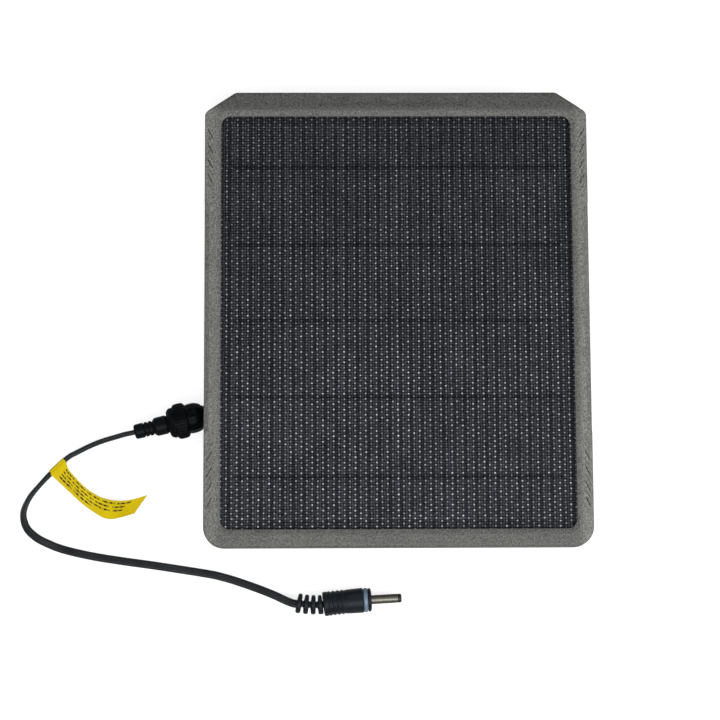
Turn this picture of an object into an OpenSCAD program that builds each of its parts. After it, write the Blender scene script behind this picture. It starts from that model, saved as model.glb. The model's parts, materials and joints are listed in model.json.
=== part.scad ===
// Solar charging panel with a screw-coupled two-core lead and a DC barrel plug.
// Frame: origin on the resting plane under the panel's centre, +Z out of the
// glazed face, +Y towards the panel's top edge (the one with the cut corners).

/* [Panel] */
// Width of the frame
panel_w = 152; // [140:1:180]
// Height of the frame
panel_h = 181.5; // [170:0.5:200]
// Height of the glazed face above the resting plane
panel_top = 22.9; // [20:0.1:30]
// Height of the rear cover plate above the resting plane
cover_z = 12.9; // [12.9:0.1:16]
// Thickness of the rear cover plate
cover_t = 2.2; // [1.6:0.1:3]
// Width of the window in the frame
window_w = 139; // [120:1:142]
// Height of the window in the frame
window_h = 164.6; // [150:0.1:168]

/* [Solar cells] */
// Number of cell strips across
cell_cols = 6; // [2:1:8]
// Number of cell strips up
cell_rows = 2; // [1:1:3]
// Spacing of the strips across
cell_pitch = 21.6; // [15:0.1:22]
// Length of one strip
cell_len = 77.8; // [60:0.1:80]
// Gap between strips
cell_gap = 0.8; // [0.4:0.1:2]

/* [Electronics housing] */
// Width and height of the housing behind the panel
housing_w = 90; // [70:1:110]
// Wall thickness of the housing
housing_wall = 2; // [1.5:0.1:3]
// Bore radius of the brass tripod insert
insert_r = 2.6; // [2.5:0.1:3]
// Depth of the insert's bore
insert_len = 8; // [6:0.5:10]

/* [Coupling] */
// Turn of the coupling's axis from the panel's -X direction
coupling_tilt = 13.7; // [0:0.1:20]
// Outer radius of the coupling nut's flange
nut_flange_r = 7.1; // [6:0.1:7.1]
// Outer radius of the coupling nut's faceted barrel
nut_barrel_r = 6; // [5.5:0.1:6]
// Number of facets round the barrel
nut_facets = 12; // [8:1:12]
// Radius of the lead half's moulded body
male_r = 3.4; // [3:0.1:3.5]

/* [Lead and plug] */
// Width of the flat two-core lead
lead_w = 3.2; // [2.4:0.1:4]
// Thickness of the flat two-core lead
lead_t = 2; // [1.6:0.1:2.4]
// Outer radius of the plug's barrel
barrel_r = 1.75; // [1.5:0.05:2.75]
// Free length of the plug's barrel
barrel_len = 10.4; // [9:0.1:11]
// Radius of the plug's moulded grip
grip_r = 4.9; // [4:0.1:4.9]

/* [Hidden] */
$fn = 48;

// Frame outline
corner_cut_x = 12.2;     // how far each top corner's cut reaches in from the side
corner_cut_y = 7.9;      // and down from the top
cut_blend = 3;           // rounding where each cut meets the side
corner_r = 8;            // bottom corners
window_r = 4;            // window corners
window_y = -1.5;         // the window sits lower than the frame's middle
bevel_w = 2.2;           // sloped band round the window
bevel_drop = 0.8;
edge_round = 1.2;        // break along the frame's front edge
lip_t = 1.5;             // thickness of the frame's face
skirt_t = 2.2;           // thickness of the frame's outer wall
skirt_z = cover_z + cover_t;

// Stack behind the window, from the front
lip_under = panel_top - lip_t;
seal_t = 0.3;
film_t = 0.5;
encap_t = 0.3;
ribbon_t = 0.15;
cell_t = 0.2;
board_t = 1.5;
film_z = lip_under - seal_t - film_t;
encap_z = film_z - encap_t;
cell_z = encap_z - ribbon_t - cell_t;
board_z = cell_z - board_t;
stack_w = window_w + 2;
stack_h = window_h + 2;
ribbon_w = 0.9;
busbar_pitch = 31.4;     // spacing of the ribbons across each strip
busbar_edge = 16;        // first ribbon from a strip's outer end

// Screws that hold the cover to the frame: [x, y]
boss_x = panel_w / 2 - 3.2;
boss_spots = concat(
    [for (sx = [-1, 1], y = [-62, 0, 62]) [sx * boss_x, y]],
    [for (sx = [-1, 1]) [sx * 40, panel_h / 2 - 5]]
);
boss_r = 2.2;
boss_pilot_r = 1;
screw_head_r = 2;
screw_head_t = 1.2;
screw_pocket_r = 2.15;

// Electronics
housing_half = housing_w / 2;
insert_boss_r = 7;
insert_outer_r = 4.5;
board_pos = [-24, -12];
board_size = [34, 48];
board_bottom = 4;
board_thick = 1.6;
board_top = board_bottom + board_thick;
board_holes = [for (sx = [-1, 1]) [board_pos[0] + sx * 14, board_pos[1] + sx * 21]];
gland_y = -29;
gland_r = 3.5;

// Coupling: distances s run outwards along its axis from this point
coupling_z = nut_flange_r;
coupling_pos = [-76, -37, coupling_z];
socket_back = -13;
socket_mouth = 6;
socket_cavity_r = 3.3;
thread_crest_r = 4.3;
thread_root_r = 3.8;
thread_pitch = 1.5;
thread_turns = 4;
nut_front = 1.1;
nut_flange_s = 7.4;
nut_collar_s = 12.6;
nut_back = 15.1;
nut_collar_r = 6.1;
nut_bore_r = 4.45;
nut_shoulder_s = 9.3;
male_flange_s = 6.2;
male_flange_end = 9;
male_grip_r = 3.75;      // lead half behind the nut
relief_start = 21;       // grooved strain relief of the lead half
relief_end = 28.8;
relief_r = 3;
relief_pitch = 1.7;
contact_offset = 1.15;
pin_r = 0.5;

// Plug: distances t run along its axis from the strain relief's end
plug_pos = [-39.5, -111.7, grip_r];
plug_turn = 3.1;
plug_shoulder = 29.1;
rib_pitch = 2.6;         // strain relief ribs
rib_r = 3.8;
grip_start = 10;         // the grip's thick part
ring_start = 12.1;       // first of its raised rings
ring_pitch = 1.7;
seal_seat = [25.9, 27.7];
seal_r = 4.75;
plug_tip = 1.4;
barrel_root_r = 2.1;     // collar on the barrel, held in the grip
barrel_root = 6;         // length of that collar

// The lead's centreline, [x, y, z, roll]: roll 0 lies flat, 90 stands on edge
LEAD_ROUTE = [
    [-104, -43.82, 7.1, 90], [-105.4, -44.16, 7.1, 90], [-107.6, -44.55, 6.7, 90],
    [-110, -45.1, 5.8, 90],
    [-113, -45.8, 4.4, 90], [-116, -46.5, 3.1, 90], [-119.5, -47.6, 2.1, 90],
    [-123, -49.1, 1.7, 90], [-127.5, -51.4, 1.8, 90], [-131, -53.5, 1.9, 90],
    [-137.6, -59.8, 1.9, 90], [-141.8, -64.3, 1.8, 80], [-145.8, -69.4, 1.7, 70],
    [-148, -75.3, 1.6, 55], [-146.8, -80.8, 1.4, 35], [-143.2, -84.6, 1.3, 20],
    [-138.5, -87.2, 1.2, 10], [-132, -89.7, 1, 0], [-121, -92.3, 1, 0],
    [-109, -94.3, 1, 0], [-97, -96, 1, 0], [-88, -97.4, 1, 0],
    [-78, -99, 1, 0], [-72, -100.1, 1, 0], [-66, -101.7, 1, 0],
    [-60, -103.7, 1.1, 0], [-54, -105.9, 1.5, 0], [-49, -107.95, 2.5, 0],
    [-45.6, -109.6, 3.7, 0], [-43, -110.8, 4.6, 0], [-41.2, -111.45, 4.85, 0],
    [-39.5, -111.7, 4.9, 0]
];
// The pigtail's centreline, from inside the housing to the socket half
PIGTAIL_ROUTE = [
    [-41.5, -29, 7.1, 0], [-47, -29, 7.1, 0], [-51, -29.7, 7.1, 0],
    [-55, -31.3, 7.1, 0], [-58.5, -32.6, 7.1, 0], [-60.5, -33.22, 7.1, 0],
    [-63.36, -33.92, 7.1, 0]
];
TAG_FROM = [-131, -53.5];
TAG_TO = [-137.6, -59.8];
tag_z = 1.9;
tag_w = 7.4;
tag_film = 0.15;
TAG_TAIL = [
    [-131.6, -54.4], [-125, -63.8], [-120.8, -67.6], [-115.3, -69.9], [-109.7, -70.4],
    [-99.1, -68.6], [-104.1, -75.8], [-112.6, -77.6], [-120.4, -75], [-129.3, -67.4],
    [-136.4, -60.4]
];

// ---- helpers ----

// Points of an arc about c from angle a to angle b
function arc(c, r, a, b, n = 6) =
    [for (i = [0:n]) let (t = a + (b - a) * i / n) c + r * [cos(t), sin(t)]];

// Outline of the panel, drawn inwards by d: two cut top corners, two round ones
function outline(d = 0) =
    let (
        x = panel_w / 2 - d, y = panel_h / 2 - d,
        r = corner_r - d, low = cut_blend / 2,
        cx = corner_cut_x - d * 0.45, cy = corner_cut_y - d * 0.45
    )
    concat(
        arc([-x + r, -y + r], r, 180, 270), arc([x - r, -y + r], r, 270, 360),
        [[x, y - cy - low], [x - low * 0.4, y - cy], [x - cx, y]],
        [[-x + cx, y], [-x + low * 0.4, y - cy], [-x, y - cy - low]]
    );

// Rectangle with round corners, centred
module round_rect(w, h, r) {
    polygon(concat(
        arc([w / 2 - r, h / 2 - r], r, 0, 90), arc([-w / 2 + r, h / 2 - r], r, 90, 180),
        arc([-w / 2 + r, -h / 2 + r], r, 180, 270), arc([w / 2 - r, -h / 2 + r], r, 270, 360)
    ));
}

// Slab between two heights
module slab(z0, z1) {
    translate([0, 0, z0]) linear_extrude(z1 - z0) children();
}

// Ring or rod along +X between two stations
module along(s0, s1, r) {
    translate([s0, 0, 0]) rotate([0, 90, 0]) cylinder(h = s1 - s0, r = r);
}

// Turned shape along +X from a profile of [station, radius]
module turned(profile) {
    rotate([0, 90, 0]) rotate_extrude() polygon([for (p = profile) [p[1], p[0]]]);
}

// Local axes of the coupling: +X runs outwards from the panel
module at_coupling() {
    translate(coupling_pos) rotate([0, 0, 180 + coupling_tilt]) children();
}

// Local axes of the plug: +X runs towards its tip
module at_plug() {
    translate(plug_pos) rotate([0, 0, plug_turn]) children();
}

// Cross-section of the flat lead: eight points of a flattened round
function lead_section(grow = 0) =
    let (w = lead_w / 2 + grow, t = lead_t / 2 + grow)
    [[w, t * 0.42], [w * 0.62, t], [-w * 0.62, t], [-w, t * 0.42],
     [-w, -t * 0.42], [-w * 0.62, -t], [w * 0.62, -t], [w, -t * 0.42]];

// One section placed across the route at point i
function lead_ring(route, i) =
    let (
        last = len(route) - 1,
        p = [route[i][0], route[i][1], route[i][2]],
        before = route[max(i - 1, 0)], after = route[min(i + 1, last)],
        run = [after[0] - before[0], after[1] - before[1], after[2] - before[2]],
        along_dir = run / norm(run),
        side = cross([0, 0, 1], along_dir), flat = side / norm(side),
        up = cross(along_dir, flat), roll = route[i][3],
        u = cos(roll) * flat + sin(roll) * up,
        v = cos(roll) * up - sin(roll) * flat
    )
    [for (q = lead_section()) p + q[0] * u + q[1] * v];

// A flat lead swept along a route
module lead_tube(route) {
    rings = [for (i = [0:len(route) - 1]) lead_ring(route, i)];
    n = len(rings[0]);
    m = len(rings);
    polyhedron(
        points = [for (ring = rings) for (p = ring) p],
        faces = concat(
            [[for (k = [0:n - 1]) k]],
            [[for (k = [n - 1:-1:0]) (m - 1) * n + k]],
            [for (i = [0:m - 2], k = [0:n - 1])
                let (a = i * n + k, b = i * n + (k + 1) % n) [a, a + n, b + n]],
            [for (i = [0:m - 2], k = [0:n - 1])
                let (a = i * n + k, b = i * n + (k + 1) % n) [a, b + n, b]]
        )
    );
}

// ---- panel ----

module front_frame() color("dimgray") {
    side_step_w = 1.6;
    side_step_h = 97;
    recess_top = 60;
    recess_foot = 56;
    difference() {
        union() {
            slab(skirt_z, panel_top - edge_round) polygon(outline());
            slab(panel_top - edge_round, panel_top - edge_round / 2) polygon(outline(edge_round * 0.3));
            slab(panel_top - edge_round / 2, panel_top) polygon(outline(edge_round));
        }
        slab(skirt_z - 1, lip_under) polygon(outline(skirt_t));
        translate([0, window_y, 0]) {
            slab(lip_under - 1, panel_top + 1) round_rect(window_w, window_h, window_r);
            slab(panel_top - bevel_drop / 2, panel_top + 1)
                round_rect(window_w + bevel_w, window_h + bevel_w, window_r + bevel_w / 2);
        }
        // long step along each side, and the shallow recess in the top border
        for (sx = [-1, 1])
            translate([sx * (panel_w / 2), 1.5, panel_top])
                cube([2 * side_step_w, side_step_h, 2 * edge_round], center = true);
        slab(panel_top - 0.5, panel_top + 1)
            polygon([[-recess_top / 2, panel_h / 2 + 1], [-recess_foot / 2, panel_h / 2 - 5],
                [recess_foot / 2, panel_h / 2 - 5], [recess_top / 2, panel_h / 2 + 1]]);
    }
    // screw bosses stand behind the border, tied into the wall
    for (p = boss_spots)
        difference() {
            translate([p[0], p[1], skirt_z]) cylinder(h = lip_under - skirt_z + 0.2, r = boss_r);
            translate([p[0], p[1], skirt_z - 1]) cylinder(h = 6, r = boss_pilot_r);
        }
}

module front_film() color("midnightblue")
    translate([0, window_y, 0])
        slab(film_z, film_z + film_t) round_rect(stack_w, stack_h, window_r);

module encapsulant_sheet() color("white", 0.5)
    translate([0, window_y, 0])
        slab(encap_z, film_z) round_rect(stack_w - 0.4, stack_h - 0.4, window_r);

// Calls its children once at the centre of each cell strip
module each_cell() {
    for (i = [0:cell_cols - 1], j = [0:cell_rows - 1])
        translate([(i - (cell_cols - 1) / 2) * cell_pitch,
            window_y + (j - (cell_rows - 1) / 2) * (cell_len + cell_gap), 0]) children();
}

module solar_cells() color("black")
    each_cell() slab(cell_z, cell_z + cell_t) square([cell_pitch - cell_gap, cell_len], center = true);

module cell_ribbons() color("silver")
    for (sy = [-1, 1], k = [0, 1])
        translate([0, window_y + sy * (cell_len + cell_gap / 2 - busbar_edge - k * busbar_pitch), 0])
            slab(cell_z + cell_t, encap_z) square([cell_cols * cell_pitch + 3, ribbon_w], center = true);

module backing_board() color("darkgreen")
    translate([0, window_y, 0])
        slab(board_z, cell_z) round_rect(stack_w - 0.8, stack_h - 0.8, window_r);

module window_seal() color("black")
    translate([0, window_y, 0])
        slab(film_z + film_t, lip_under)
            difference() {
                round_rect(stack_w, stack_h, window_r);
                round_rect(window_w + 0.4, window_h + 0.4, window_r);
            }

module rear_cover() color("dimgray")
    difference() {
        union() {
            slab(cover_z, skirt_z) polygon(outline(0.6));
            slab(0, cover_z) round_rect(housing_w, housing_w, 8);
        }
        difference() {
            slab(housing_wall, skirt_z + 1)
                round_rect(housing_w - 2 * housing_wall, housing_w - 2 * housing_wall, 6);
            // standing features inside the housing
            cylinder(h = insert_len + 1, r = insert_boss_r);
            for (p = board_holes) translate([p[0], p[1], 0]) cylinder(h = board_bottom, r = 3);
        }
        // insert's seat, board screw pilots, cable outlet, cover screw holes
        translate([0, 0, -1]) cylinder(h = insert_len + 1, r = insert_outer_r);
        for (p = board_holes) translate([p[0], p[1], 1.2]) cylinder(h = board_bottom, r = 0.8);
        translate([-housing_half - 1, gland_y, coupling_z]) rotate([0, 90, 0])
            cylinder(h = housing_wall + 2, r = gland_r);
        for (p = boss_spots) translate([p[0], p[1], cover_z - 1]) {
            cylinder(h = cover_t + 2, r = 1.25);
            cylinder(h = 1 + screw_head_t, r = screw_pocket_r);
        }
    }

// Foam cord that closes the joint between the frame's wall and the cover
module cover_seal() color("darkslategray")
    slab(skirt_z, skirt_z + 1)
        difference() {
            polygon(outline(skirt_t + 0.2));
            polygon(outline(skirt_t + 1));
            for (p = boss_spots) translate(p) circle(r = boss_r + 0.4);
        }

// Pan-head screw that points up, its head's underside at z = 0
module screw(head_r, head_t, shank_r, shank_len) {
    difference() {
        translate([0, 0, -head_t]) cylinder(h = head_t, r = head_r);
        for (a = [0, 90]) rotate([0, 0, a])
            translate([0, 0, -head_t]) cube([head_r * 1.2, 0.5, 1], center = true);
    }
    cylinder(h = shank_len, r = shank_r);
}

module cover_screws() color("silver")
    for (p = boss_spots) translate([p[0], p[1], cover_z + screw_head_t])
        screw(screw_head_r, screw_head_t, boss_pilot_r, cover_t - screw_head_t + 4.5);

module threaded_insert() color("goldenrod")
    difference() {
        cylinder(h = insert_len, r = insert_outer_r);
        translate([0, 0, -1]) cylinder(h = insert_len + 2, r = insert_r);
        translate([0, 0, insert_len / 2]) rotate_extrude()
            translate([insert_outer_r - 0.4, -0.8]) square([1, 1.6]);
    }

// ---- charge electronics ----

module charge_board() color("green")
    difference() {
        translate([board_pos[0], board_pos[1], board_bottom + board_thick / 2])
            cube([board_size[0], board_size[1], board_thick], center = true);
        for (p = board_holes) translate([p[0], p[1], board_bottom - 1]) cylinder(h = 4, r = 1.1);
        cylinder(h = 20, r = insert_boss_r + 0.5);
    }

module board_screws() color("silver")
    for (p = board_holes) translate([p[0], p[1], board_top]) mirror([0, 0, 1])
        screw(1.9, 1, 0.8, board_top - 1.4);

module converter_chip() color("black")
    translate([board_pos[0] - 2, board_pos[1] + 6, board_top]) {
        translate([0, 0, 0.95]) cube([4, 5, 1.5], center = true);
        for (sx = [-1, 1], y = [-1.9:1.27:1.91])
            translate([sx * 2.4, y, 0.4]) cube([1, 0.4, 0.8], center = true);
    }

module power_inductor() color("darkgray")
    translate([board_pos[0] - 10, board_pos[1] + 8, board_top]) {
        slab(0, 0.8) square([7, 7], center = true);
        slab(0.8, 3.2) circle(r = 2.6);
        slab(3.2, 4) circle(r = 3.3);
    }

module filter_capacitors() color("darkslateblue")
    for (k = [0, 1]) translate([board_pos[0] - 11 + 8 * k, board_pos[1] - 5, board_top]) {
        slab(0, 0.6) square([6.6, 6.6], center = true);
        slab(0.6, 6) circle(r = 3.1);
    }

module blocking_diode() color("black")
    translate([board_pos[0] + 8, board_pos[1] - 6, board_top]) {
        translate([0, 0, 1.1]) cube([4.3, 2.6, 2], center = true);
        for (sx = [-1, 1]) translate([sx * 2.5, 0, 0.4]) cube([0.8, 1.5, 0.8], center = true);
    }

// Two wires that drop from the backing board to the charge board
module panel_wires() color("firebrick")
    for (k = [0, 1]) translate([board_pos[0] - 10 + 5 * k, board_pos[1] + 18, board_top])
        cylinder(h = board_z - board_top, r = 0.6);

module cable_gland() color("black")
    translate([-housing_half, gland_y, coupling_z])
        difference() {
            turned([[-1.5, 0], [-1.5, 4], [0, 4.6], [0, gland_r], [housing_wall, gland_r],
                [housing_wall, 4.3], [housing_wall + 1, 4.3], [housing_wall + 1, 0]]);
            rotate([90, 0, 90]) linear_extrude(20, center = true) polygon(lead_section(0.02));
        }

module pigtail_cable() color("black") lead_tube(PIGTAIL_ROUTE);

module pigtail_cores() color("tomato")
    for (sy = [-1, 1]) translate([-41.5, gland_y + sy * 0.8, coupling_z]) rotate([0, 90, 0])
        cylinder(h = 4, r = 0.45);

// ---- coupling, panel half ----

module socket_body() color("black")
    at_coupling() difference() {
        turned(concat(
            [[socket_back, 0], [socket_back, 2.4], [socket_back + 5, 3.4], [socket_back + 6, 4.1],
             [socket_back + 12, 4.1], [socket_back + 12.6, thread_root_r]],
            [for (k = [0:thread_turns - 1]) let (s = 0.2 + k * thread_pitch * 0.9)
                each [[s, thread_root_r], [s + 0.4, thread_crest_r], [s + 0.7, thread_crest_r],
                    [s + 1.1, thread_root_r]]],
            [[socket_mouth, thread_root_r], [socket_mouth, 0]]
        ));
        along(0, socket_mouth + 1, socket_cavity_r);
        for (sy = [-1, 1]) translate([0, sy * contact_offset, 0]) along(-3, 1, pin_r);
    }

module socket_pins() color("gold")
    at_coupling() for (sy = [-1, 1]) translate([0, sy * contact_offset, 0]) {
        along(-3, 4.6, pin_r);
        turned([[4.6, 0], [4.6, pin_r], [5, 0.25], [5, 0]]);
    }

// ---- coupling, lead half ----

module coupling_nut() color("black")
    at_coupling() difference() {
        union() {
            // faceted barrel that tapers towards the panel
            intersection() {
                turned([[nut_front, 0], [nut_front, nut_barrel_r - 1.2],
                    [nut_front + 1.4, nut_barrel_r - 0.5], [nut_front + 2.9, nut_barrel_r],
                    [nut_flange_s, nut_barrel_r], [nut_flange_s, 0]]);
                translate([nut_front - 1, 0, 0]) rotate([0, 90, 0])
                    cylinder(h = nut_flange_s, r = nut_barrel_r + 0.1, $fn = nut_facets);
            }
            // flange with two flats, then the rear collar
            intersection() {
                turned([[nut_flange_s, 0], [nut_flange_s, nut_flange_r - 0.5],
                    [nut_flange_s + 0.7, nut_flange_r], [nut_collar_s - 0.7, nut_flange_r],
                    [nut_collar_s, nut_flange_r - 0.6], [nut_collar_s, 0]]);
                translate([nut_flange_s + 2.6, 0, 0]) cube([8, 20, 13], center = true);
            }
            turned([[nut_collar_s, 0], [nut_collar_s, nut_collar_r], [nut_back - 0.8, nut_collar_r],
                [nut_back, nut_collar_r - 0.9], [nut_back, 0]]);
        }
        along(nut_front - 1, nut_shoulder_s, nut_bore_r);
        along(nut_shoulder_s - 1, nut_back + 1, male_r + 0.15);
    }

module male_body() color("black")
    at_coupling() difference() {
        turned(concat(
            [[male_flange_s, 0], [male_flange_s, 4.2], [male_flange_end, 4.2],
             [male_flange_end, male_r], [nut_back + 0.4, male_r],
             [nut_back + 0.8, male_grip_r], [relief_start - 0.9, male_grip_r]],
            [for (k = [0:2]) let (g = relief_start + relief_pitch * k)
                each [[g, relief_r], [g, relief_r - 0.5], [g + 0.4, relief_r - 0.5], [g + 0.4, relief_r]]],
            [[relief_end - 0.4, relief_r], [relief_end, 2.4], [relief_end, 0]]
        ));
        along(male_flange_s - 1, male_flange_s + 5, 3);
    }

module male_insert() color("dimgray")
    at_coupling() difference() {
        turned([[0.3, 0], [0.3, 2.9], [0.6, 3.15], [4, 3.15], [4, 2.3], [5.2, 2.3],
            [5.2, 3.15], [male_flange_s, 3.15], [male_flange_s, 3], [male_flange_s + 5, 3],
            [male_flange_s + 5, 0]]);
        for (sy = [-1, 1]) translate([0, sy * contact_offset, 0]) along(-1, male_flange_s + 3, 0.85);
    }

module male_contacts() color("gold")
    at_coupling() for (sy = [-1, 1]) translate([0, sy * contact_offset, 0])
        difference() {
            along(0.5, male_flange_s + 3, 0.85);
            along(-1, male_flange_s, pin_r + 0.06);
        }

module male_seal() color("darkslategray")
    at_coupling() rotate([0, 90, 0]) translate([0, 0, 4.6]) rotate_extrude()
        translate([2.78, 0]) circle(r = 0.45, $fn = 24);

// ---- lead ----

module lead_cable() color("black") lead_tube(LEAD_ROUTE);

module lead_tag() color("gold") {
    run = TAG_TO - TAG_FROM;
    heading = atan2(run[1], run[0]);
    middle = (TAG_FROM + TAG_TO) / 2;
    translate([middle[0], middle[1], tag_z]) rotate([0, 0, heading]) rotate([90, 0, 90])
        linear_extrude(tag_w, center = true) rotate([0, 0, 90])
            difference() {
                polygon(lead_section(0.05 + tag_film));
                polygon(lead_section(0.05));
            }
    difference() {
        slab(tag_z - 1.7, tag_z - 1.3) polygon(TAG_TAIL);
        translate([middle[0], middle[1], tag_z]) rotate([0, 0, heading]) rotate([90, 0, 90])
            linear_extrude(12, center = true) rotate([0, 0, 90]) polygon(lead_section(0.05));
    }
}

// ---- plug ----

module plug_grip() color("black")
    at_plug() difference() {
        turned(concat(
            [[0, 0]],
            [for (k = [0:3]) let (t = rib_pitch * k)
                each [[t, 2 + 0.1 * k], [t + 0.3, rib_r], [t + 1.8, rib_r], [t + 2.1, 1.9 + 0.1 * k]]],
            [[grip_start, 2.6], [grip_start + 0.2, 4.6]],
            [for (k = [0:3]) let (t = ring_start + ring_pitch * k)
                each [[t, 4.45], [t + 0.2, 4.8], [t + 0.9, 4.8], [t + 1.1, 4.45]]],
            [[18.8, 4.5], [19.1, grip_r - 0.1], [19.5, grip_r], [seal_seat[0] - 0.4, grip_r],
             [seal_seat[0], 4.6], [seal_seat[0], 3.2], [seal_seat[1], 3.2], [seal_seat[1], 4.4],
             [plug_shoulder - 0.4, 4.4], [plug_shoulder, 4], [plug_shoulder, 0]]
        ));
        along(plug_shoulder - barrel_root, plug_shoulder + 1, barrel_root_r);
    }

module plug_seal() color("lightsteelblue")
    at_plug() let (a = seal_seat[0], b = seal_seat[1])
        turned([[a, 3.2], [a, seal_r - 0.2], [a + 0.3, seal_r], [b - 0.3, seal_r],
            [b, seal_r - 0.2], [b, 3.2]]);

module plug_barrel() color("silver")
    at_plug() difference() {
        union() {
            along(plug_shoulder - barrel_root, plug_shoulder, barrel_root_r);
            along(plug_shoulder - 1, plug_shoulder + barrel_len, barrel_r);
        }
        along(plug_shoulder - barrel_root - 1, plug_shoulder + barrel_len + 1, barrel_r - 0.3);
    }

module plug_insulator() color("black")
    at_plug() difference() {
        turned([[plug_shoulder - barrel_root, 0], [plug_shoulder - barrel_root, barrel_r - 0.3],
            [plug_shoulder + barrel_len, barrel_r - 0.3], [plug_shoulder + barrel_len, barrel_r],
            [plug_shoulder + barrel_len + 0.9, barrel_r],
            [plug_shoulder + barrel_len + plug_tip, barrel_r - 0.5],
            [plug_shoulder + barrel_len + plug_tip, 0]]);
        along(plug_shoulder - barrel_root - 1, plug_shoulder + barrel_len, 0.95);
        along(plug_shoulder, plug_shoulder + barrel_len + plug_tip + 1, 0.68);
    }

module plug_contact() color("gold")
    at_plug() difference() {
        along(plug_shoulder - barrel_root, plug_shoulder + barrel_len, 0.95);
        along(plug_shoulder - 2, plug_shoulder + barrel_len + 1, 0.68);
    }

front_frame();
front_film();
encapsulant_sheet();
solar_cells();
cell_ribbons();
backing_board();
window_seal();
rear_cover();
cover_seal();
cover_screws();
threaded_insert();
charge_board();
board_screws();
converter_chip();
power_inductor();
filter_capacitors();
blocking_diode();
panel_wires();
cable_gland();
pigtail_cable();
pigtail_cores();
socket_body();
socket_pins();
coupling_nut();
male_body();
male_insert();
male_contacts();
male_seal();
lead_cable();
lead_tag();
plug_grip();
plug_seal();
plug_barrel();
plug_insulator();
plug_contact();
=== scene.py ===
import json
import math
import random

import bpy
from mathutils import Matrix, Vector


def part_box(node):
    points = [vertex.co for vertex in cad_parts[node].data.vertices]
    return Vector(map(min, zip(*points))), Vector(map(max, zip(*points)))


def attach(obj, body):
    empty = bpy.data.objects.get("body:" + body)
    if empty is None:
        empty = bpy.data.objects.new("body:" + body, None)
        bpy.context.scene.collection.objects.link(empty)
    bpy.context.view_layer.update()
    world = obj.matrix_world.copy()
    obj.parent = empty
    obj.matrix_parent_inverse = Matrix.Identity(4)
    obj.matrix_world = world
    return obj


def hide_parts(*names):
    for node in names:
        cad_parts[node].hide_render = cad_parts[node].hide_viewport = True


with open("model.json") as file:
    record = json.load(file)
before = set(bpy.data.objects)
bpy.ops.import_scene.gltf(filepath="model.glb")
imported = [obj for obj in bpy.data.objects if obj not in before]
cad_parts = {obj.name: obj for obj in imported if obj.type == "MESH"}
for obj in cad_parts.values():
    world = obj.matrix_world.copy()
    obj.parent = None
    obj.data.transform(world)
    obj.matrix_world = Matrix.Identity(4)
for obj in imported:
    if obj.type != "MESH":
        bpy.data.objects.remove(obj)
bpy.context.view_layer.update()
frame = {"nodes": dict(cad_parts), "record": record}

MM = 0.001                      # every shape below is written in millimetres
record = frame["record"]
JOINTS = {j["name"]: j for j in record["behaviour"]["joints"]}
MOUNTS = {m["name"]: m for m in record["mounts"]}

frame_lo, frame_hi = (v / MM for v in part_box("front_frame"))
film_lo, film_hi = (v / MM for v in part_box("front_film"))
HALF_W, HALF_H, TOP = frame_hi.x, frame_hi.y, frame_hi.z
SKIRT = frame_lo.z

# The cords' routes, as in part.scad: (x, y, z) in metres and the roll in degrees
LEAD_ROUTE = [
    (-0.104, -0.04382, 0.0071, 90), (-0.1054, -0.04416, 0.0071, 90), (-0.1076, -0.04455, 0.0067, 90),
    (-0.110, -0.0451, 0.0058, 90), (-0.113, -0.0458, 0.0044, 90), (-0.116, -0.0465, 0.0031, 90),
    (-0.1195, -0.0476, 0.0021, 90), (-0.123, -0.0491, 0.0017, 90), (-0.1275, -0.0514, 0.0018, 90),
    (-0.131, -0.0535, 0.0019, 90), (-0.1376, -0.0598, 0.0019, 90), (-0.1418, -0.0643, 0.0018, 80),
    (-0.1458, -0.0694, 0.0017, 70), (-0.148, -0.0753, 0.0016, 55), (-0.1468, -0.0808, 0.0014, 35),
    (-0.1432, -0.0846, 0.0013, 20), (-0.1385, -0.0872, 0.0012, 10), (-0.132, -0.0897, 0.001, 0),
    (-0.121, -0.0923, 0.001, 0), (-0.109, -0.0943, 0.001, 0), (-0.097, -0.096, 0.001, 0),
    (-0.088, -0.0974, 0.001, 0), (-0.078, -0.099, 0.001, 0), (-0.072, -0.1001, 0.001, 0),
    (-0.066, -0.1017, 0.001, 0), (-0.060, -0.1037, 0.0011, 0), (-0.054, -0.1059, 0.0015, 0),
    (-0.049, -0.10795, 0.0025, 0), (-0.0456, -0.1096, 0.0037, 0), (-0.043, -0.1108, 0.0046, 0),
    (-0.0412, -0.11145, 0.00485, 0), (-0.0395, -0.1117, 0.0049, 0),
]
PIGTAIL_ROUTE = [
    (-0.0415, -0.029, 0.0071, 0), (-0.047, -0.029, 0.0071, 0), (-0.051, -0.0297, 0.0071, 0),
    (-0.055, -0.0313, 0.0071, 0), (-0.0585, -0.0326, 0.0071, 0), (-0.0605, -0.03322, 0.0071, 0),
    (-0.06336, -0.03392, 0.0071, 0),
]
LEAD_W, LEAD_T = 3.2, 2.0       # the flat lead's width and thickness


# ---- camera ----

CAMERA_AT = (-0.0296, -0.1601, 0.9517)
CAMERA_TURN = (8.73, -0.87, -0.28)      # degrees about X, Y and Z
CAMERA_LENS = 120


def add_camera():
    data = bpy.data.cameras.new("camera")
    data.lens = CAMERA_LENS
    data.sensor_width = 36
    cam = bpy.data.objects.new("camera", data)
    cam.location = CAMERA_AT
    cam.rotation_euler = [math.radians(a) for a in CAMERA_TURN]
    bpy.context.collection.objects.link(cam)
    bpy.context.scene.camera = cam


add_camera()


# ---- mesh helpers ----

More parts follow.
